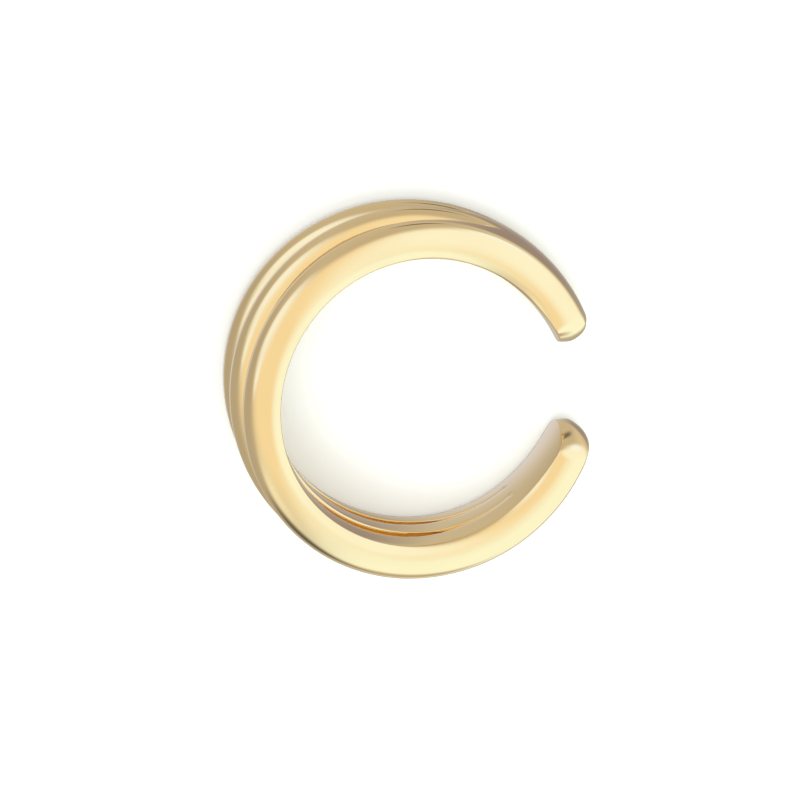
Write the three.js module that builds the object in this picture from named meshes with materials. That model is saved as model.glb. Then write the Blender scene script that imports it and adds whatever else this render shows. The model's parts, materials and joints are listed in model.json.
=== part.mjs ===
// Triple-band ear cuff, cast in one piece and polished.
// Three D-section bands run side by side round an open ring. They fan out towards the back of the
// ring and flow together into one smooth lobe at each end, beside the gap that slips over the ear.
// Millimetres, +Z up. The ring is drawn round the Z axis with its gap towards +X, and is then laid
// on its side the way it rests by itself: on the back of its lower band and on its two lobes.
import * as THREE from "three";
import { mergeVertices } from "three/addons/utils/BufferGeometryUtils.js";

// Ring
const RIM_RADIUS = 4.75; // inner radius at the two rims
const COMFORT_CROWN = 0.12; // how far the inner face bulges inwards at its middle
const CREST_RADIUS = 5.92; // outer radius on the crest of a band
const MIDDLE_CROWN = 0.12; // how far the middle band stands proud of the outer ones
const TIP_ANGLE = 16.6; // degrees from the middle of the gap to either end of the inner face
const TIP_FLARE = 0.2; // how far the inner face opens outwards at a tip
const FLARE_ARC = 35; // degrees over which it opens

// Widths, as half widths along the axis
const LOBE_HALF = 1.58; // the whole cuff at its ends
const BACK_HALF = 2.98; // the whole cuff at the back
const OUTER_BAND_HALF = { end: 0.5, back: 0.56 };
const MIDDLE_BAND_HALF = { end: 0.4, back: 0.59 };
const FAN_POWER = 3; // how late the fan opens

// Section of a band: flat inside, boxy dome outside
const DOME_POWER = 3.2; // 2 is an ellipse, higher is boxier
const RIM_FALL = 0.12; // how far each rim falls in towards the inner face
const RIM_FALL_HEIGHT = 0.4; // height over the inner face at which it starts to
const RIM_FALLS = { from: 17, to: 42 }; // not at the tips, in degrees from the middle of the gap
const DOME_STEPS = 8;

// Where the bands part, in degrees from the middle of the gap
const SLIT_OPENS = { from: 45, to: 100 };
const SLIT_LEAST = 0.01; // a slit narrower than twice this is closed
const DOMES_PART = { from: 60, to: 95 };
const WEB_ENDS = 77; // the slit goes right through from here on

// Rounded ends
const PLAN_ROUND = 0.75; // length of the rounding seen from inside the ring
const PROFILE_ROUND = 0.45; // length of the rounding seen from the side
const NOSE_OVERHANG = 1.9; // degrees by which the round nose of a tip stands out past its inner face
const NOSE_HEIGHT = 0.5; // height over the inner face at which it stands out most
const ROUND_STEPS = 6;
const RING_STEPS = 65; // odd, so that one flat step faces the gap from the back

const RAD = Math.PI / 180;
const MERGE_DISTANCE = 1e-5;

function smoothStep({ from, to }, value) {
  const share = THREE.MathUtils.clamp((value - from) / (to - from), 0, 1);
  return share * share * (3 - 2 * share);
}

// 0 at the gap, 1 at the back of the ring
function fan(angle) {
  return Math.pow(Math.sin((angle * RAD) / 2), FAN_POWER);
}

function mix({ end, back }, share) {
  return end + (back - end) * share;
}

// Quarter-ellipse that shrinks a section over the last stretch before the tip
function roundOff(angle, length) {
  const beforeTip = (angle - TIP_ANGLE) * RAD * RIM_RADIUS;
  const left = THREE.MathUtils.clamp(1 - beforeTip / length, 0, 1);
  return Math.sqrt(1 - left * left);
}

function dome(share) {
  return Math.sqrt(Math.max(0, 1 - Math.pow(Math.min(Math.abs(share), 1), DOME_POWER)));
}

// All sizes of the ring at one place. Angles go round from the middle of the gap, and both hands
// of the ring are alike.
function station(turned) {
  const angle = Math.min(Math.abs(turned), 360 - Math.abs(turned));
  const spread = fan(angle);
  const half = mix({ end: LOBE_HALF, back: BACK_HALF }, spread);
  const outerHalf = mix(OUTER_BAND_HALF, spread);
  const middleHalf = mix(MIDDLE_BAND_HALF, spread);
  const slitMiddle = (half - 2 * outerHalf + middleHalf) / 2;
  const opened = ((half - 2 * outerHalf - middleHalf) / 2) * smoothStep(SLIT_OPENS, angle);
  const slitHalf = opened < SLIT_LEAST ? 0 : opened;
  const flare = THREE.MathUtils.clamp((TIP_ANGLE + FLARE_ARC - angle) / FLARE_ARC, 0, 1);
  return {
    turned,
    half,
    shoulder: outerHalf,
    slitMiddle,
    slitHalf,
    joined: 1 - smoothStep(DOMES_PART, angle),
    channel: slitHalf > 0 ? smoothStep({ from: SLIT_OPENS.from, to: WEB_ENDS }, angle) : 0,
    flare: TIP_FLARE * flare * flare,
    rimFall: RIM_FALL * smoothStep(RIM_FALLS, angle),
    narrowing: roundOff(angle, PLAN_ROUND),
    lowering: roundOff(angle, PROFILE_ROUND),
  };
}

function innerRadius(at, z) {
  const share = z / at.half;
  return RIM_RADIUS + at.flare - COMFORT_CROWN * (1 - share * share);
}

// Height over the inner face where the three bands have flowed together: the lobe keeps the outer
// bands' round shoulders, and has a low crown between them.
function lobeHeight(at, z) {
  const inside = at.half - at.shoulder;
  const crest = CREST_RADIUS + MIDDLE_CROWN * Math.max(0, 1 - Math.pow(z / inside, 2));
  return (crest - innerRadius(at, z)) * dome(Math.max(0, Math.abs(z) - inside) / at.shoulder);
}

// Span of a band along the axis: side is 1 for the upper band, 0 for the middle one, -1 for the lower
function bandSpan(at, side) {
  if (side === 0) return [at.slitMiddle - at.slitHalf, at.slitHalf - at.slitMiddle];
  const edge = at.slitMiddle + at.slitHalf;
  return side > 0 ? [at.half, edge] : [-edge, -at.half];
}

// Over a band from its upper edge to its lower one. Each point of a section is its place along the
// axis and its height over the inner face.
function domeRun(at, side) {
  const [high, low] = bandSpan(at, side);
  return Array.from({ length: DOME_STEPS + 1 }, (_, step) => {
    const across = Math.cos((Math.PI * step) / DOME_STEPS);
    const share = Math.sign(across) * Math.pow(Math.abs(across), 2 / DOME_POWER);
    const z = THREE.MathUtils.lerp(low, high, (share + 1) / 2);
    const crest = CREST_RADIUS + (side === 0 ? MIDDLE_CROWN : 0);
    const own = (crest - innerRadius(at, z)) * dome(share);
    return { z, height: THREE.MathUtils.lerp(own, lobeHeight(at, z), at.joined) };
  });
}

// Back along the inside: over each band's flat inner face and round the channel between two bands.
// Where the channel goes right through it is as deep as the groove outside, so that the two meet.
function channelRun(at, from, to) {
  const depth = (z) => lobeHeight(at, z) * at.joined * at.channel;
  return [
    { z: from, height: 0 },
    { z: from, height: depth(from) },
    { z: to, height: depth(to) },
    { z: to, height: 0 },
  ];
}

// Once round the whole section, always with the same points in turn
function outline(at) {
  const outer = at.slitMiddle + at.slitHalf;
  const inner = at.slitMiddle - at.slitHalf;
  return [
    ...domeRun(at, 1),
    ...domeRun(at, 0),
    ...domeRun(at, -1),
    ...channelRun(at, -outer, -inner),
    ...channelRun(at, inner, outer),
  ];
}

// The sides of the outline that cross a slit, on the outside and on the inside
function slitSides() {
  const run = DOME_STEPS + 1;
  return [run - 1, 2 * run - 1, 3 * run + 1, 3 * run + 5];
}

// Puts a point of a section in its place round the ring. The rims fall in a little towards the
// inner face, and the tips are rounded off behind a nose that stands out past the inner face.
function placed(at, { z, height }) {
  const under = Math.max(0, 1 - height / RIM_FALL_HEIGHT);
  const edge = at.slitMiddle + at.slitHalf;
  const towardsRim = Math.max(0, (Math.abs(z) - edge) / (at.half - edge));
  const fallen = (z - Math.sign(z) * at.rimFall * towardsRim * under * under) * at.narrowing;
  const rise = height * at.lowering;
  const nose = Math.sin((Math.PI / 2) * Math.min(rise / NOSE_HEIGHT, 1)) * (1 - at.narrowing * at.narrowing);
  const angle = (at.turned + Math.sign(at.turned - 180) * NOSE_OVERHANG * nose) * RAD;
  const radius = innerRadius(at, fallen) + rise;
  return [radius * Math.cos(angle), radius * Math.sin(angle), fallen];
}

// Angles from one tip round the back to the other, closer together in the rounded ends
function stationAngles() {
  const roundArc = PLAN_ROUND / RIM_RADIUS / RAD;
  const ends = Array.from({ length: ROUND_STEPS }, (_, step) =>
    TIP_ANGLE + roundArc * (1 - Math.cos((step / ROUND_STEPS) * (Math.PI / 2))));
  const start = TIP_ANGLE + roundArc;
  const body = Array.from({ length: RING_STEPS + 1 }, (_, step) =>
    start + ((360 - 2 * start) * step) / RING_STEPS);
  return [...ends, ...body, ...ends.map((angle) => 360 - angle).reverse()];
}

// The closed skin of the cuff: a strip of faces along each side of the outline, but none across the
// slits where they go right through. What shares a place becomes one corner, and faces that have
// shrunk to nothing, at the tips and where the slits are closed, are left out.
function makeSkin() {
  const stations = stationAngles().map(station);
  const sections = stations.map(outline);
  const sides = sections[0].length;
  const slits = slitSides();
  const goesThrough = stations.map((at) => at.channel === 1);
  const points = sections.flatMap((section, step) => section.map((point) => placed(stations[step], point)));
  const faces = [];
  for (let step = 0; step + 1 < stations.length; step += 1) {
    for (let side = 0; side < sides; side += 1) {
      if (slits.includes(side) && goesThrough[step] && goesThrough[step + 1]) continue;
      const next = (side + 1) % sides;
      const [a, b] = [step * sides + side, step * sides + next];
      faces.push(a, b + sides, a + sides, a, b, b + sides);
    }
  }
  const skin = new THREE.BufferGeometry();
  skin.setAttribute("position", new THREE.Float32BufferAttribute(points.flat(), 3));
  skin.setIndex(faces);
  const merged = mergeVertices(skin, MERGE_DISTANCE);
  merged.setIndex(withoutEmptyFaces(merged.index.array));
  return merged;
}

function withoutEmptyFaces(corners) {
  const kept = [];
  for (let i = 0; i < corners.length; i += 3) {
    const [a, b, c] = corners.slice(i, i + 3);
    if (a !== b && b !== c && c !== a) kept.push(a, b, c);
  }
  return kept;
}

// The tilt at which the back of the lower band and both lobes touch one flat surface
function restTilt(position) {
  const back = lowestCorner(position, 0);
  let tilt = Math.PI / 2;
  for (let i = 0; i < position.count; i += 1) {
    const ahead = position.getX(i) - back.x;
    const above = position.getZ(i) - back.z;
    if (ahead > RIM_RADIUS) tilt = Math.min(tilt, Math.atan2(above, ahead));
  }
  return tilt;
}

// Lowest corner once the ring is tilted about the Y axis
function lowestCorner(position, tilt) {
  const axis = new THREE.Vector3(0, 1, 0);
  const lowest = new THREE.Vector3(0, 0, Infinity);
  const corner = new THREE.Vector3();
  for (let i = 0; i < position.count; i += 1) {
    corner.fromBufferAttribute(position, i).applyAxisAngle(axis, tilt);
    if (corner.z < lowest.z) lowest.copy(corner);
  }
  return lowest;
}

function makeCuff() {
  const geometry = makeSkin();
  geometry.rotateY(restTilt(geometry.attributes.position));
  geometry.computeBoundingBox();
  const { min, max } = geometry.boundingBox;
  geometry.translate(-(min.x + max.x) / 2, -(min.y + max.y) / 2, -min.z);
  geometry.computeVertexNormals();
  const polishedGold = new THREE.MeshStandardMaterial({ color: 0xf0cf95, roughness: 0.18, metalness: 1 });
  const cuff = new THREE.Mesh(geometry, polishedGold);
  cuff.name = "triple_band_cuff";
  return cuff;
}

const earCuff = new THREE.Group();
earCuff.add(makeCuff());

export default earCuff;
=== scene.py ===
"""A polished, gold-plated ear cuff with three bands, lying on its side on a pale studio table."""
import json
import logging
import math
from dataclasses import dataclass, field
from enum import Enum

import bpy
from mathutils import Matrix, Vector


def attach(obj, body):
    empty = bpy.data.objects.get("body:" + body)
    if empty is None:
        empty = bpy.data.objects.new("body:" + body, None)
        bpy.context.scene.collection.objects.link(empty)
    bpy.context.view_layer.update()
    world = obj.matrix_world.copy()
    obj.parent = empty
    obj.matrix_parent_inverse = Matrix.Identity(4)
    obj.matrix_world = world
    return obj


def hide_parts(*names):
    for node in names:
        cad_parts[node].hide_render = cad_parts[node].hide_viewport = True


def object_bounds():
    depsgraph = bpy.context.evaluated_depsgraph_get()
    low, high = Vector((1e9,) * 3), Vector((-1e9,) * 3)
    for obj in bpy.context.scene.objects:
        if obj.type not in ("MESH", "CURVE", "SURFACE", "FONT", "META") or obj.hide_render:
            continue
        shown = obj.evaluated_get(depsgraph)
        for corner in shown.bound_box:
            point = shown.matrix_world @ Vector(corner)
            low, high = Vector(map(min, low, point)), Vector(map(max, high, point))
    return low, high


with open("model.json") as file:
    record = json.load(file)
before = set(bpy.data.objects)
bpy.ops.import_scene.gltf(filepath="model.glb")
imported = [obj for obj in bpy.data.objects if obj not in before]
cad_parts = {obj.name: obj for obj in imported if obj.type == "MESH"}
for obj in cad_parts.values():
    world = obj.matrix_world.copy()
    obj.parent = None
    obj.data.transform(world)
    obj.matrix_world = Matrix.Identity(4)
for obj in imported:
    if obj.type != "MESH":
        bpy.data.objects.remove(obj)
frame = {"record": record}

CAD_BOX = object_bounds()
CUFF_NODE = "triple_band_cuff"
SEAT_MOUNT = "ear_seat"
MM = 0.001
WELD_DISTANCE = 2e-7
CREASE_ANGLE = math.radians(42)

log = logging.getLogger("ear_cuff")


def linear_colour(code: str) -> tuple[float, float, float, float]:
    """Turn an sRGB hex colour into the linear values that a shader takes.

    Args:
        code: Six hex digits with a leading #.

    Returns:
        Linear red, green, blue and an alpha of 1.
    """
    channels = [int(code[start:start + 2], 16) / 255 for start in (1, 3, 5)]
    linear = [c / 12.92 if c <= 0.04045 else ((c + 0.055) / 1.055) ** 2.4 for c in channels]
    return (linear[0], linear[1], linear[2], 1.0)


def smooth_step(low: float, high: float, value: float) -> float:
    """Ease from 0 at low to 1 at high."""
    share = min(max((value - low) / (high - low), 0.0), 1.0)
    return share * share * (3 - 2 * share)


def mix(start: float, end: float, share: float) -> float:
    """Go from start to end by a share between 0 and 1."""
    return start + (end - start) * share


def add_node(tree: bpy.types.NodeTree, kind: str, settings: dict[str, object],
             inputs: dict[str | int, object]) -> bpy.types.Node:
    """Add a node, set its properties, and fill or link its inputs.

    Args:
        tree: Node tree that takes the node.
        kind: Blender's type name of the node.
        settings: Properties of the node by name.
        inputs: Input sockets by name or number; a socket as the value is linked.

    Returns:
        The new node.
    """
    node = tree.nodes.new(kind)
    for name, value in settings.items():
        setattr(node, name, value)
    for key, value in inputs.items():
        if isinstance(value, bpy.types.NodeSocket):
            tree.links.new(value, node.inputs[key])
        else:
            node.inputs[key].default_value = value
    return node


class Band(Enum):
    """The three bands, by the side of the middle plane that each lies on."""

    UPPER = 1
    MIDDLE = 0
    LOWER = -1


@dataclass(frozen=True)
class Span:
    """A size in millimetres that grows from the cuff's ends to the back of the ring."""

    end: float
    back: float

    def at(self, share: float) -> float:
        """Give the size at a share of the way from the ends to the back."""
        return mix(self.end, self.back, share)


@dataclass(frozen=True)
class Station:
    """The cuff's sizes at one place round the ring, in millimetres.

    Attributes:
        angle: The place, in degrees from the middle of the gap.
        half: Half the width of the whole cuff.
        shoulder: Width of the joined lobe's round shoulder.
        slit_middle: Distance of a slit's middle from the middle plane.
        slit_half: Half the width of a slit.
        joined: 1 where the bands have flowed together, 0 where each has its own dome.
        channel: Depth of the inner channel, as a share of the way to the outside.
        flare: How far the inner face has opened outwards.
        rim_fall: How far each rim falls in.
        narrowing: Share of the width that the tip's rounding leaves.
        lowering: Share of the height that it leaves.
    """

    angle: float
    half: float
    shoulder: float
    slit_middle: float
    slit_half: float
    joined: float
    channel: float
    flare: float
    rim_fall: float
    narrowing: float
    lowering: float


@dataclass(frozen=True)
class RingForm:
    """The form of the cuff, with its gap towards +X and its axis along Z.

    Lengths are in millimetres. Angles are in degrees, and places round the ring are counted from the
    middle of the gap.

    Attributes:
        rim_radius: Inner radius at the two rims.
        comfort_crown: How far the inner face bulges inwards at its middle.
        crest_radius: Outer radius on the crest of an outer band.
        middle_crown: How far the middle band stands proud of the outer ones.
        tip_angle: Where the inner face ends.
        nose_overhang: Angle by which a tip's round nose stands out past its inner face.
        nose_height: Height over the inner face where the nose stands out most.
        tip_flare: How far the inner face opens outwards at a tip.
        flare_arc: Angle over which it opens.
        whole_half: Half the width of the whole cuff.
        outer_band_half: Half the width of an outer band.
        middle_band_half: Half the width of the middle band.
        fan_power: How late the bands fan out towards the back.
        dome_power: Roundness of a dome, where 2 is an ellipse and more is boxier.
        slit_opens: Where the slits start and where they are fully open.
        slit_least: Half the width under which a slit counts as closed.
        domes_part: Where the joined lobe starts to part into domes and where it has.
        web_ends: From where on the slits go right through.
        plan_round_arc: Angle over which a tip is rounded as seen from inside the ring.
        profile_round_arc: Angle over which it is rounded as seen from the side.
        edge_radius: Rounding of the bands' inner edges.
        rim_fall: How far each rim falls in towards the inner face.
        rim_fall_height: Height over the inner face at which it starts to.
        rim_falls: Where the fall starts and where it is full.
        packed_step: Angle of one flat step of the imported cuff's inner face.
    """

    rim_radius: float = 4.75
    comfort_crown: float = 0.12
    crest_radius: float = 5.90
    middle_crown: float = 0.12
    tip_angle: float = 16.6
    nose_overhang: float = 1.9
    nose_height: float = 0.5
    tip_flare: float = 0.2
    flare_arc: float = 35.0
    whole_half: Span = Span(1.552, 2.946)
    outer_band_half: Span = Span(0.5, 0.56)
    middle_band_half: Span = Span(0.4, 0.59)
    fan_power: float = 3.0
    dome_power: float = 3.2
    slit_opens: tuple[float, float] = (45.0, 100.0)
    slit_least: float = 0.001
    domes_part: tuple[float, float] = (60.0, 95.0)
    web_ends: float = 77.35
    plan_round_arc: float = 9.0
    profile_round_arc: float = 5.5
    edge_radius: float = 0.035
    rim_fall: float = 0.12
    rim_fall_height: float = 0.4
    rim_falls: tuple[float, float] = (17.0, 42.0)
    packed_step: float = 4.749

    def station(self, angle: float) -> Station:
        """Work out every size at one place.

        Args:
            angle: Degrees round the ring from the middle of the gap.

        Returns:
            The sizes there. Both hands of the ring are alike.
        """
        turned = min(angle, 360 - angle)
        spread = math.sin(math.radians(turned) / 2) ** self.fan_power
        half = self.whole_half.at(spread)
        outer = self.outer_band_half.at(spread)
        middle = self.middle_band_half.at(spread)
        opened = (half - 2 * outer - middle) / 2 * smooth_step(*self.slit_opens, turned)
        slit_half = opened if opened >= self.slit_least else 0.0
        web_thins = smooth_step(self.slit_opens[0], self.web_ends, turned)
        flare = min(max((self.tip_angle + self.flare_arc - turned) / self.flare_arc, 0), 1)
        return Station(
            angle=angle,
            half=half,
            shoulder=outer,
            slit_middle=(half - 2 * outer + middle) / 2,
            slit_half=slit_half,
            joined=1 - smooth_step(*self.domes_part, turned),
            channel=web_thins if slit_half > 0 else 0.0,
            flare=self.tip_flare * flare ** 2,
            rim_fall=self.rim_fall * smooth_step(*self.rim_falls, turned),
            narrowing=self.rounding(turned, self.plan_round_arc),
            lowering=self.rounding(turned, self.profile_round_arc),
        )

    def rounding(self, turned: float, arc: float) -> float:
        """Give the quarter ellipse that closes a section over the last stretch before a tip."""
        left = min(max(1 - (turned - self.tip_angle) / arc, 0), 1)
        return math.sqrt(1 - left ** 2)

    def inner_radius(self, at: Station, z: float) -> float:
        """Give the radius of the inner face, which bulges a little towards its middle."""
        return self.rim_radius + at.flare - self.comfort_crown * (1 - (z / at.half) ** 2)

    def seat_radius(self) -> float:
        """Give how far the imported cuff's seat, a flat step of its inner face, lies from the axis."""
        radius = self.inner_radius(self.station(180), self.middle_band_half.back)
        return radius * math.cos(math.radians(self.packed_step / 2))

    def place(self, at: Station, z: float, height: float) -> Vector:
        """Place a point of a section, with the rims' inner sides falling in and the tips rounded.

        Args:
            at: The station.
            z: The point's place along the ring's axis before the rounding.
            height: Its height over the inner face before the rounding.

        Returns:
            Its place, in millimetres. Each tip's round nose stands out past the end of the flat
            inner face.
        """
        under = max(0.0, 1 - height / self.rim_fall_height)
        outer_edge = at.slit_middle + at.slit_half
        towards_rim = max(0.0, (abs(z) - outer_edge) / (at.half - outer_edge))
        z = (z - math.copysign(at.rim_fall * towards_rim * under ** 2, z)) * at.narrowing
        height *= at.lowering
        radius = self.inner_radius(at, z) + height
        nose = math.sin(math.pi / 2 * min(height / self.nose_height, 1)) * (1 - at.narrowing ** 2)
        ahead = math.copysign(self.nose_overhang * nose, at.angle - 180)
        turn = math.radians(at.angle + ahead)
        return Vector((radius * math.cos(turn), radius * math.sin(turn), z))

    def dome(self, share: float) -> float:
        """Give the height of a boxy dome as a share, from -1 to 1 across it."""
        return math.sqrt(max(0.0, 1 - min(abs(share), 1) ** self.dome_power))

    def dome_place(self, turn: float) -> float:
        """Give the place across a dome, from 1 to -1, for a turn from 0 to half a circle."""
        across = math.cos(turn)
        return math.copysign(abs(across) ** (2 / self.dome_power), across)

    def lobe_height(self, at: Station, z: float) -> float:
        """Give the height where the bands have flowed together: round shoulders and a low crown.

        Args:
            at: The station.
            z: The place along the ring's axis, in millimetres.

        Returns:
            The height over the inner face, in millimetres.
        """
        inside = at.half - at.shoulder
        crown = self.middle_crown * max(0.0, 1 - (z / inside) ** 2)
        full = self.crest_radius + crown - self.inner_radius(at, z)
        return mix(self.edge_radius, full, self.dome(max(0.0, abs(z) - inside) / at.shoulder))

    def band_span(self, at: Station, band: Band) -> tuple[float, float]:
        """Find where a band's edges lie.

        Args:
            at: The station.
            band: The band.

        Returns:
            Its upper and its lower edge along the ring's axis, in millimetres.
        """
        if band is Band.MIDDLE:
            edge = at.slit_middle - at.slit_half
            return edge, -edge
        edge = at.slit_middle + at.slit_half
        return (at.half, edge) if band is Band.UPPER else (-edge, -at.half)


# A point of a section: its place along the ring's axis, and its height over the inner face.
Outline = list[tuple[float, float]]


@dataclass(frozen=True)
class CuffSection:
    """The outline of the whole cuff's section at any station, always with the same points in turn.

    Attributes:
        form: The ring's form.
        dome_steps: Steps over each dome.
        floor_steps: Steps across the floor of a groove or a channel.
        edge_steps: Steps round each rounded inner edge.
        flat_steps: Steps along each flat inner face.
        wall_steps: Steps up each wall of a channel.
    """

    form: RingForm
    dome_steps: int = 28
    floor_steps: int = 3
    edge_steps: int = 3
    flat_steps: int = 4
    wall_steps: int = 3

    def outline(self, at: Station) -> Outline:
        """Run once round the section, over the domes and back along the inner face.

        Args:
            at: The station.

        Returns:
            The points in turn, without the first one again at the end.
        """
        upper, middle, lower = Band
        return (self.dome_run(at, upper) + self.groove_run(at, upper, middle)
                + self.dome_run(at, middle) + self.groove_run(at, middle, lower)
                + self.dome_run(at, lower)
                + self.inner_run(at, lower) + self.channel_run(at, lower, middle)
                + self.inner_run(at, middle) + self.channel_run(at, middle, upper)
                + self.inner_run(at, upper))

    def floor_steps_of_outline(self) -> set[int]:
        """Find the steps of the outline that cross a groove's or a channel's floor.

        Returns:
            Their numbers, where step 0 goes from the first point to the second.
        """
        dome = self.dome_steps + 1
        groove = self.floor_steps - 1
        inner = 2 * self.edge_steps + self.flat_steps - 1
        wall = self.wall_steps + 1
        channel = 2 * wall + self.floor_steps - 1
        outer = 3 * dome + 2 * groove
        starts = (dome - 1, 2 * dome + groove - 1,
                  outer + inner + wall - 1, outer + 2 * inner + channel + wall - 1)
        return {start + step for start in starts for step in range(self.floor_steps)}

    def edge_radius(self, at: Station, band: Band, upper: bool) -> float:
        """Give the radius of a band's inner edge: full at the rims, and none where a slit closes."""
        on_rim = (band is Band.UPPER and upper) or (band is Band.LOWER and not upper)
        return self.form.edge_radius if on_rim else min(self.form.edge_radius, at.slit_half / 2)

    def dome_run(self, at: Station, band: Band) -> Outline:
        """Go over a band from its upper to its lower edge.

        Args:
            at: The station.
            band: The band. Its own dome turns into its stretch of the joined lobe.

        Returns:
            Both edges and the points between them.
        """
        form = self.form
        high, low = form.band_span(at, band)
        proud = form.middle_crown if band is Band.MIDDLE else 0.0
        feet = self.edge_radius(at, band, True), self.edge_radius(at, band, False)
        points = []
        for step in range(self.dome_steps + 1):
            share = step / self.dome_steps
            place = form.dome_place(math.pi * share)
            z = mix(low, high, (place + 1) / 2)
            full = form.crest_radius + proud - form.inner_radius(at, z)
            own = mix(mix(*feet, share), full, form.dome(place))
            points.append((z, mix(own, form.lobe_height(at, z), at.joined)))
        return points

    def floor_height(self, at: Station, z: float) -> float:
        """Give the height of the floor of a groove between two bands."""
        return mix(min(self.form.edge_radius, at.slit_half / 2), self.form.lobe_height(at, z), at.joined)

    def groove_run(self, at: Station, above: Band, below: Band) -> Outline:
        """Cross the floor of the groove between two bands.

        Args:
            at: The station.
            above: The band above the groove.
            below: The band below it.

        Returns:
            The points on the floor, without those on its sides.
        """
        top = self.form.band_span(at, above)[1]
        bottom = self.form.band_span(at, below)[0]
        across = [mix(top, bottom, step / self.floor_steps) for step in range(1, self.floor_steps)]
        return [(z, self.floor_height(at, z)) for z in across]

    def inner_run(self, at: Station, band: Band) -> Outline:
        """Go along a band's flat inner face between its two rounded edges.

        Args:
            at: The station.
            band: The band.

        Returns:
            The points from the lower edge to the upper one.
        """
        high, low = self.form.band_span(at, band)
        low_edge = self.edge_radius(at, band, False)
        high_edge = self.edge_radius(at, band, True)
        turns = [math.pi / 2 * step / self.edge_steps for step in range(1, self.edge_steps + 1)]
        rise = [(low + low_edge * (1 - math.cos(turn)), low_edge * (1 - math.sin(turn)))
                for turn in turns]
        flat = [(mix(low + low_edge, high - high_edge, step / self.flat_steps), 0.0)
                for step in range(1, self.flat_steps)]
        fall = [(high - high_edge * (1 - math.cos(turn)), high_edge * (1 - math.sin(turn)))
                for turn in reversed(turns)]
        return rise + flat + fall

    def channel_run(self, at: Station, below: Band, above: Band) -> Outline:
        """Go up the wall of the channel between two bands, across its floor and down again.

        Args:
            at: The station.
            below: The band below the channel.
            above: The band above it.

        Returns:
            The points from the lower band to the upper one.
        """
        form = self.form
        near = form.band_span(at, below)[0]
        far = form.band_span(at, above)[1]
        edge = min(form.edge_radius, at.slit_half / 2)
        wall = [step / self.wall_steps for step in range(self.wall_steps + 1)]
        across = [mix(near, far, step / self.floor_steps) for step in range(1, self.floor_steps)]
        places = ([(near, share) for share in wall] + [(z, 1.0) for z in across]
                  + [(far, share) for share in reversed(wall)])
        return [(z, mix(edge, mix(edge, self.floor_height(at, z), at.channel), share))
                for z, share in places]


def deselect_all() -> None:
    """Leave nothing selected and nothing in edit mode."""
    if bpy.context.object and bpy.context.object.mode != "OBJECT":
        bpy.ops.object.mode_set(mode="OBJECT")
    bpy.ops.object.select_all(action="DESELECT")


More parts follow.
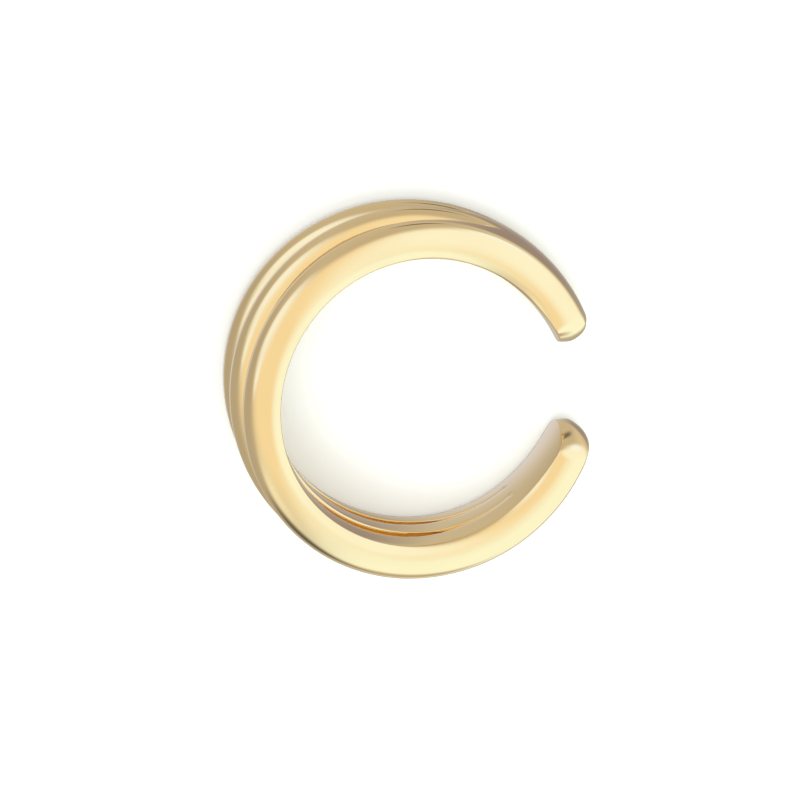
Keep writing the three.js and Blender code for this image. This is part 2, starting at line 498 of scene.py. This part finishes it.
@dataclass
class TripleBandCuff:
    """The cuff: three bands, the webs between them and the two rounded lobes, in one piece.

    Attributes:
        form: The ring's form.
        tip_steps: Steps along each rounded tip.
        body_steps: Steps along the rest of the ring.
        tube_radius: Radius in millimetres of the plain tube that is formed into the cuff.
        tube_turn: Angle in degrees that the tube is spun through.
    """

    form: RingForm = field(default_factory=RingForm)
    tip_steps: int = 22
    body_steps: int = 310
    tube_radius: float = 0.5
    tube_turn: float = 330.0

    def angles(self) -> list[float]:
        """Space the stations, closer together in the rounded tips.

        Returns:
            Their angles in degrees, from one tip round the back to the other.
        """
        form = self.form
        turns = [math.pi / 2 * step / self.tip_steps for step in range(self.tip_steps)]
        tip = [form.tip_angle + form.plan_round_arc * (1 - math.cos(turn)) for turn in turns]
        start = form.tip_angle + form.plan_round_arc
        body = [mix(start, 360 - start, step / self.body_steps) for step in range(self.body_steps + 1)]
        return tip + body + [360 - angle for angle in reversed(tip)]

    def build(self) -> bpy.types.Object:
        """Spin a plain open tube, open its slits, form it, weld it and lay it down.

        Returns:
            The finished mesh object at the origin, with its place in its mesh.
        """
        section = CuffSection(self.form)
        angles = self.angles()
        rounds = [section.outline(self.form.station(angle)) for angle in angles]
        cuff = self.spin_tube(len(rounds[0]), len(angles))
        self.open_slits(cuff, section, angles, len(rounds[0]))
        self.shape(cuff, angles, rounds)
        self.weld(cuff)
        self.lay_down(cuff)
        return cuff

    def spin_tube(self, sides: int, stations: int) -> bpy.types.Object:
        """Add a circle and spin it most of the way round into an open tube.

        Args:
            sides: Corners of the tube's section.
            stations: Sections round the tube.

        Returns:
            The plain tube.
        """
        deselect_all()
        bpy.ops.mesh.primitive_circle_add(
            vertices=sides, radius=self.tube_radius * MM,
            location=(self.form.rim_radius * MM, 0, 0), rotation=(math.pi / 2, 0, 0))
        cuff = bpy.context.object
        cuff.name = "triple_band_cuff_gold"
        bpy.ops.object.transform_apply(location=True, rotation=True, scale=True)
        bpy.ops.object.mode_set(mode="EDIT")
        bpy.ops.mesh.select_all(action="SELECT")
        bpy.ops.mesh.spin(steps=stations - 1, angle=math.radians(self.tube_turn),
                          center=(0, 0, 0), axis=(0, 0, -1))
        bpy.ops.object.mode_set(mode="OBJECT")
        return cuff

    def tube_place(self, point: Vector, sides: int, stations: int) -> tuple[float, float]:
        """Find where a point of the plain tube lies.

        Args:
            point: The point, in metres.
            sides: Corners of the tube's section.
            stations: Sections round the tube.

        Returns:
            The station and the step of the outline, both counted from 0 and not rounded.
        """
        azimuth = math.atan2(point.y, point.x) % math.tau
        station = azimuth / math.radians(self.tube_turn) * (stations - 1)
        # Rounding may put the first section a hair short of a whole turn.
        if azimuth > math.radians((self.tube_turn + 360) / 2):
            station = 0.0
        out = math.hypot(point.x, point.y) - self.form.rim_radius * MM
        return station, math.atan2(out, point.z) % math.tau / math.tau * sides

    def open_slits(self, cuff: bpy.types.Object, section: CuffSection,
                   angles: list[float], sides: int) -> None:
        """Delete the floors between the bands where the slits go right through.

        Args:
            cuff: The plain tube.
            section: The outline that the tube's sides stand for.
            angles: The angle of every station.
            sides: Corners of the tube's section.
        """
        floors = section.floor_steps_of_outline()
        deselect_all()
        for face in cuff.data.polygons:
            station, step = self.tube_place(face.center, sides, len(angles))
            start, end = angles[math.floor(station)], angles[math.ceil(station)]
            through = min(start, 360 - end) >= self.form.web_ends
            face.select = through and math.floor(step) in floors
        cuff.select_set(True)
        bpy.context.view_layer.objects.active = cuff
        bpy.ops.object.mode_set(mode="EDIT")
        bpy.ops.mesh.delete(type="FACE")
        bpy.ops.object.mode_set(mode="OBJECT")

    def shape(self, cuff: bpy.types.Object, angles: list[float], rounds: list[Outline]) -> None:
        """Move every point of the tube to its place on the ring.

        Args:
            cuff: The tube, with its slits open.
            angles: The angle of every station.
            rounds: The outline at every station.
        """
        sides = len(rounds[0])
        for vertex in cuff.data.vertices:
            station, step = self.tube_place(vertex.co, sides, len(angles))
            index = round(station)
            at = self.form.station(angles[index])
            vertex.co = self.form.place(at, *rounds[index][round(step) % sides]) * MM

    def weld(self, cuff: bpy.types.Object) -> None:
        """Merge what touches, turn all faces outwards and shade the polished faces smoothly.

        Args:
            cuff: The formed cuff.
        """
        deselect_all()
        cuff.select_set(True)
        bpy.context.view_layer.objects.active = cuff
        bpy.ops.object.mode_set(mode="EDIT")
        bpy.ops.mesh.select_all(action="SELECT")
        bpy.ops.mesh.remove_doubles(threshold=WELD_DISTANCE)
        bpy.ops.mesh.dissolve_degenerate(threshold=WELD_DISTANCE)
        bpy.ops.mesh.normals_make_consistent(inside=False)
        bpy.ops.object.mode_set(mode="OBJECT")
        bpy.ops.object.shade_smooth_by_angle(angle=CREASE_ANGLE)
        bpy.ops.object.modifier_add(type="WEIGHTED_NORMAL")
        cuff.modifiers[-1].keep_sharp = True
        bpy.ops.object.modifier_apply(modifier=cuff.modifiers[-1].name)

    def lay_down(self, cuff: bpy.types.Object) -> None:
        """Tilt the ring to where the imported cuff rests.

        Args:
            cuff: The cuff, drawn round the Z axis.
        """
        cuff.matrix_world = ring_frame()
        deselect_all()
        cuff.select_set(True)
        bpy.context.view_layer.objects.active = cuff
        bpy.ops.object.transform_apply(location=True, rotation=True, scale=True)

    def dress(self, cuff: bpy.types.Object) -> None:
        """Give the cuff its finish and its place in the frame.

        Args:
            cuff: The finished mesh object.
        """
        cuff.data.materials.clear()
        cuff.data.materials.append(PolishedGoldPlate().material())
        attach(cuff, "root")
        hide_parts(CUFF_NODE)


def ring_frame() -> Matrix:
    """Give the ring's own frame, with its axis along Z and its gap towards X, as it lies at rest.

    Returns:
        The matrix that lays the ring down. The inside of the back faces along the ring's X.
    """
    seat = next(m for m in frame["record"]["mounts"] if m["name"] == SEAT_MOUNT)
    facing = Vector(seat["axis"]).normalized()
    tilt = Matrix.Rotation(math.atan2(-facing.z, facing.x), 4, "Y")
    place = Vector(seat["pos_m"]) + facing * RingForm().seat_radius() * MM
    return Matrix.Translation(place) @ tilt


@dataclass(frozen=True)
class PolishedGoldPlate:
    """Pale yellow gold plate on cast brass, tumbled and buffed to a soft mirror.

    The thin plate keeps the faint ripple of the casting under it, and buffing along the bands leaves
    hair-fine lines, so that highlights are soft-edged and a little streaked instead of glassy.

    Attributes:
        colour: Fresh plate.
        worn_colour: Plate where it is rubbed a little thinner.
        roughness: Middle roughness of the polish.
        roughness_swing: How much it changes from line to line.
        ripple_mm: Size of the casting's ripples.
        ripple_detail: How much finer ripple lies in them.
        ripple_relief: How strongly they bend the mirrored room.
        ripple_depth_mm: Their depth.
        line_mm: Width of a buffing line.
        line_run_mm: Length that each radian round the ring counts as, which draws the lines out.
        line_detail: How much finer hair lies in the lines.
        line_grain: How strong that finer hair is.
        line_relief: How strongly the lines bend the mirrored room.
        line_depth_mm: Their depth.
        haze_range: The part of the lines' pattern that changes the roughness.
    """

    colour: str = "#FDE7BB"
    worn_colour: str = "#FAE0B2"
    roughness: float = 0.10
    roughness_swing: float = 0.05
    ripple_mm: float = 1.6
    ripple_detail: float = 2.0
    ripple_relief: float = 0.06
    ripple_depth_mm: float = 0.05
    line_mm: float = 0.05
    line_run_mm: float = 2.0
    line_detail: float = 3.0
    line_grain: float = 0.6
    line_relief: float = 0.04
    line_depth_mm: float = 0.01
    haze_range: tuple[float, float] = (0.3, 0.75)

    def material(self) -> bpy.types.Material:
        """Make the finish.

        Returns:
            The material, with lines round the ring and ripple all over it.
        """
        material = bpy.data.materials.new("polished_gold_plate_on_brass")
        material.use_nodes = True
        tree = material.node_tree
        tree.nodes.clear()
        around, out, along = self.ring_coordinates(tree)
        lines = add_node(tree, "ShaderNodeCombineXYZ", {}, {"X": around, "Y": out, "Z": along})
        buffing = add_node(tree, "ShaderNodeTexNoise", {}, {
            "Vector": lines.outputs[0], "Scale": 1 / (self.line_mm * MM),
            "Detail": self.line_detail, "Roughness": self.line_grain})
        place = add_node(tree, "ShaderNodeTexCoord", {}, {})
        ripple = add_node(tree, "ShaderNodeTexNoise", {}, {
            "Vector": place.outputs["Object"], "Scale": 1 / (self.ripple_mm * MM),
            "Detail": self.ripple_detail})
        tone = add_node(tree, "ShaderNodeMix", {"data_type": "RGBA"}, {
            0: ripple.outputs["Fac"], 6: linear_colour(self.colour), 7: linear_colour(self.worn_colour)})
        haze = add_node(tree, "ShaderNodeMapRange", {}, {
            "Value": buffing.outputs["Fac"],
            "From Min": self.haze_range[0], "From Max": self.haze_range[1],
            "To Min": self.roughness - self.roughness_swing / 2,
            "To Max": self.roughness + self.roughness_swing / 2})
        fine = add_node(tree, "ShaderNodeBump", {}, {
            "Height": buffing.outputs["Fac"],
            "Strength": self.line_relief, "Distance": self.line_depth_mm * MM})
        soft = add_node(tree, "ShaderNodeBump", {}, {
            "Height": ripple.outputs["Fac"], "Normal": fine.outputs["Normal"],
            "Strength": self.ripple_relief, "Distance": self.ripple_depth_mm * MM})
        metal = add_node(tree, "ShaderNodeBsdfPrincipled", {}, {
            "Base Color": tone.outputs[2], "Metallic": 1.0, "Roughness": haze.outputs["Result"],
            "Normal": soft.outputs["Normal"]})
        add_node(tree, "ShaderNodeOutputMaterial", {}, {"Surface": metal.outputs[0]})
        return material

    def ring_coordinates(self, tree: bpy.types.NodeTree) -> tuple[bpy.types.NodeSocket, ...]:
        """Measure along and across the bands in the ring's own frame.

        Args:
            tree: The material's nodes.

        Returns:
            The way round the ring, shortened so that the lines are drawn out along the bands, the
            distance from the ring's axis, and the height along it.
        """
        upright = ring_frame().inverted()
        place = add_node(tree, "ShaderNodeTexCoord", {}, {})
        turned = add_node(tree, "ShaderNodeMapping", {"vector_type": "POINT"}, {
            "Vector": place.outputs["Object"], "Location": upright.to_translation(),
            "Rotation": upright.to_euler()})
        parts = add_node(tree, "ShaderNodeSeparateXYZ", {}, {"Vector": turned.outputs[0]})
        angle = add_node(tree, "ShaderNodeMath", {"operation": "ARCTAN2"}, {
            0: parts.outputs["Y"], 1: parts.outputs["X"]})
        around = add_node(tree, "ShaderNodeMath", {"operation": "MULTIPLY"}, {
            0: angle.outputs[0], 1: self.line_run_mm * MM})
        flat = add_node(tree, "ShaderNodeCombineXYZ", {}, {
            "X": parts.outputs["X"], "Y": parts.outputs["Y"]})
        out = add_node(tree, "ShaderNodeVectorMath", {"operation": "LENGTH"}, {0: flat.outputs[0]})
        return around.outputs[0], out.outputs["Value"], parts.outputs["Z"]


@dataclass(frozen=True)
class StudioTable:
    """A plain, pale, matt table top under the cuff."""

    size_m: float = 1.6
    colour: str = "#F7F7F6"
    roughness: float = 0.9

    def build(self) -> bpy.types.Object:
        """Add the table top at the height that the cuff rests on.

        Returns:
            The table, which polished metal doesn't mirror.
        """
        deselect_all()
        bpy.ops.mesh.primitive_plane_add(size=self.size_m, location=(0, 0, CAD_BOX[0].z))
        table = bpy.context.object
        table.name = "studio_table"
        table.visible_glossy = False
        bpy.ops.object.transform_apply(location=True, rotation=True, scale=True)
        return table

    def dress(self, table: bpy.types.Object) -> None:
        """Give the table its pressed matt laminate, an even white that mirrors nothing.

        Args:
            table: The table top.
        """
        material = bpy.data.materials.new("matt_white_laminate")
        material.use_nodes = True
        shader = material.node_tree.nodes["Principled BSDF"]
        shader.inputs["Base Color"].default_value = linear_colour(self.colour)
        shader.inputs["Roughness"].default_value = self.roughness
        table.data.materials.append(material)


@dataclass(frozen=True)
class SoftPanel:
    """A round, soft-edged patch of light or of shade far off in the room.

    Attributes:
        azimuth: Degrees round from +X to the patch's middle.
        from_zenith: Degrees down from straight above.
        radius: Degrees from its middle to where it has half gone.
        softness: Degrees over which its edge fades.
        light: Its linear red, green and blue.
    """

    azimuth: float
    from_zenith: float
    radius: float
    softness: float
    light: tuple[float, float, float]

    def paint(self, tree: bpy.types.NodeTree, place: bpy.types.NodeSocket,
              under: bpy.types.NodeSocket) -> bpy.types.NodeSocket:
        """Lay the patch over the light of the room so far.

        Args:
            tree: The world's nodes.
            place: The direction in the room.
            under: The light so far.

        Returns:
            The light with the patch over it.
        """
        turn, fall = math.radians(self.azimuth), math.radians(self.from_zenith)
        towards = Vector((
            math.sin(fall) * math.cos(turn), math.sin(fall) * math.sin(turn), math.cos(fall)))
        facing = add_node(tree, "ShaderNodeVectorMath", {"operation": "DOT_PRODUCT"}, {
            0: place, 1: towards})
        angle = add_node(tree, "ShaderNodeMath", {"operation": "ARCCOSINE"}, {
            0: facing.outputs["Value"]})
        share = add_node(tree, "ShaderNodeMapRange", {"interpolation_type": "SMOOTHSTEP"}, {
            "Value": angle.outputs[0],
            "From Min": math.radians(max(0.0, self.radius - self.softness / 2)),
            "From Max": math.radians(self.radius + self.softness / 2), "To Min": 1.0, "To Max": 0.0})
        laid = add_node(tree, "ShaderNodeMix", {"data_type": "RGBA"}, {
            0: share.outputs["Result"], 6: under, 7: (*self.light, 1.0)})
        return laid.outputs[2]


@dataclass(frozen=True)
class Studio:
    """Soft light from a pale room and softboxes, and the camera over the table.

    Attributes:
        camera_tilt: Degrees between the line of sight and the ring's axis.
        camera_side: Degrees round the ring, from its gap, to the side that the camera looks from.
        axis_direction: Degrees from the picture's right to where the ring's axis points in it.
        distance_m: From the camera to the cuff.
        view_width_mm: Width of the view at the cuff.
        sensor_mm: Width of the camera's sensor.
        clip_m: Nearest and farthest that the camera sees.
        aim_mm: The picture's middle, rightwards and upwards of the ring's.
        room_light: Linear red, green and blue of the room between the panels.
        panels: Softboxes and shades, each laid over the ones before it.
        lamp_size_m: Width of the lamp over the table.
        lamp_height_m: Its height over the table.
        lamp_watts: Its power.
        lamp_colour: Its linear red, green and blue.
    """

    camera_tilt: float = 16.0
    camera_side: float = 118.9
    axis_direction: float = 301.2
    distance_m: float = 0.6
    view_width_mm: float = 25.8
    sensor_mm: float = 36.0
    clip_m: tuple[float, float] = (0.01, 10.0)
    aim_mm: tuple[float, float] = (-0.47, -0.367)
    room_light: tuple[float, float, float] = (0.60, 0.56, 0.47)
    panels: tuple[SoftPanel, ...] = (
        SoftPanel(195, 100, 55, 40, (0.49, 0.46, 0.40)),
        SoftPanel(200, 163, 15, 24, (0.72, 0.72, 0.78)),
        SoftPanel(0, 8, 40, 30, (0.96, 0.88, 0.67)),
        SoftPanel(10, 118, 38, 30, (0.78, 0.76, 0.65)),
        SoftPanel(15, 60, 38, 28, (1.02, 1.13, 1.16)),
        SoftPanel(25, 128, 20, 18, (0.66, 0.61, 0.51)),
        SoftPanel(312, 85, 50, 30, (1.02, 1.18, 1.20)),
        SoftPanel(140, 42, 19, 24, (1.00, 1.12, 1.25)),
        SoftPanel(174, 33, 8, 12, (1.00, 1.10, 1.20)),
        SoftPanel(80, 66, 21, 26, (0.58, 0.53, 0.44)),
        SoftPanel(40, 78, 11, 16, (0.98, 1.18, 1.50)),
        SoftPanel(300, 145, 26, 22, (0.50, 0.47, 0.38)),
        SoftPanel(20, 155, 20, 24, (0.33, 0.29, 0.29)),
        SoftPanel(278, 92, 18, 16, (0.54, 0.49, 0.41)),
        SoftPanel(247, 46, 12, 20, (0.94, 0.96, 0.86)),
        SoftPanel(250, 82, 17, 22, (0.13, 0.14, 0.15)),
        SoftPanel(80, 113, 9, 12, (0.16, 0.16, 0.15)),
    )
    lamp_size_m: float = 1.0
    lamp_height_m: float = 0.9
    lamp_watts: float = 8.5
    lamp_colour: tuple[float, float, float] = (0.86, 0.93, 1.0)

    def place_camera(self) -> None:
        """Look down into the ring, a little from the side of its back."""
        tilt = math.radians(self.camera_tilt)
        side = math.radians(self.camera_side)
        roll = math.radians(self.axis_direction)
        laid = ring_frame()
        turn = laid.to_3x3()
        towards = turn @ Vector((
            math.sin(tilt) * math.cos(side), math.sin(tilt) * math.sin(side), math.cos(tilt)))
        axis = turn @ Vector((0, 0, 1))
        along = (axis - towards * axis.dot(towards)).normalized()
        across = towards.cross(along)
        right = along * math.cos(roll) - across * math.sin(roll)
        up = along * math.sin(roll) + across * math.cos(roll)
        aim = laid.translation + (right * self.aim_mm[0] + up * self.aim_mm[1]) * MM
        camera = bpy.data.cameras.new("studio_camera")
        camera.sensor_width = self.sensor_mm
        camera.lens = camera.sensor_width * self.distance_m / (self.view_width_mm * MM)
        camera.clip_start, camera.clip_end = self.clip_m
        holder = bpy.data.objects.new("studio_camera", camera)
        bpy.context.scene.collection.objects.link(holder)
        holder.matrix_world = Matrix.Translation(aim + towards * self.distance_m) @ Matrix(
            (right, up, towards)).transposed().to_4x4()
        bpy.context.scene.camera = holder

    def light_room(self) -> None:
        """Paint the soft panels over the room's own light."""
        world = bpy.data.worlds.new("pale_studio_room")
        bpy.context.scene.world = world
        world.use_nodes = True
        tree = world.node_tree
        tree.nodes.clear()
        place = add_node(tree, "ShaderNodeTexCoord", {}, {}).outputs["Generated"]
        light = add_node(tree, "ShaderNodeRGB", {}, {}).outputs[0]
        light.default_value = (*self.room_light, 1.0)
        for panel in self.panels:
            light = panel.paint(tree, place, light)
        glow = add_node(tree, "ShaderNodeBackground", {}, {"Color": light, "Strength": 1.0})
        add_node(tree, "ShaderNodeOutputWorld", {}, {"Surface": glow.outputs[0]})

    def light_table(self) -> None:
        """Hang a wide soft lamp that lights the table and isn't seen in the polished metal."""
        lamp = bpy.data.lights.new("table_lamp", "AREA")
        lamp.shape = "DISK"
        lamp.size = self.lamp_size_m
        lamp.energy = self.lamp_watts
        lamp.color = self.lamp_colour
        holder = bpy.data.objects.new("table_lamp", lamp)
        holder.location = (0, 0, self.lamp_height_m)
        holder.visible_glossy = False
        bpy.context.scene.collection.objects.link(holder)


def main() -> None:
    """Build the studio and the cuff."""
    logging.basicConfig(level=logging.INFO, format="%(name)s: %(message)s")
    bpy.context.scene.view_settings.view_transform = "Standard"
    studio = Studio()
    studio.place_camera()
    studio.light_room()
    studio.light_table()
    table = StudioTable()
    table_top = table.build()
    table.dress(table_top)
    maker = TripleBandCuff()
    cuff = maker.build()
    maker.dress(cuff)
    for piece in (table_top, cuff):
        log.info("%s: %d faces", piece.name, len(piece.data.polygons))


if __name__ == "__main__":
    main()
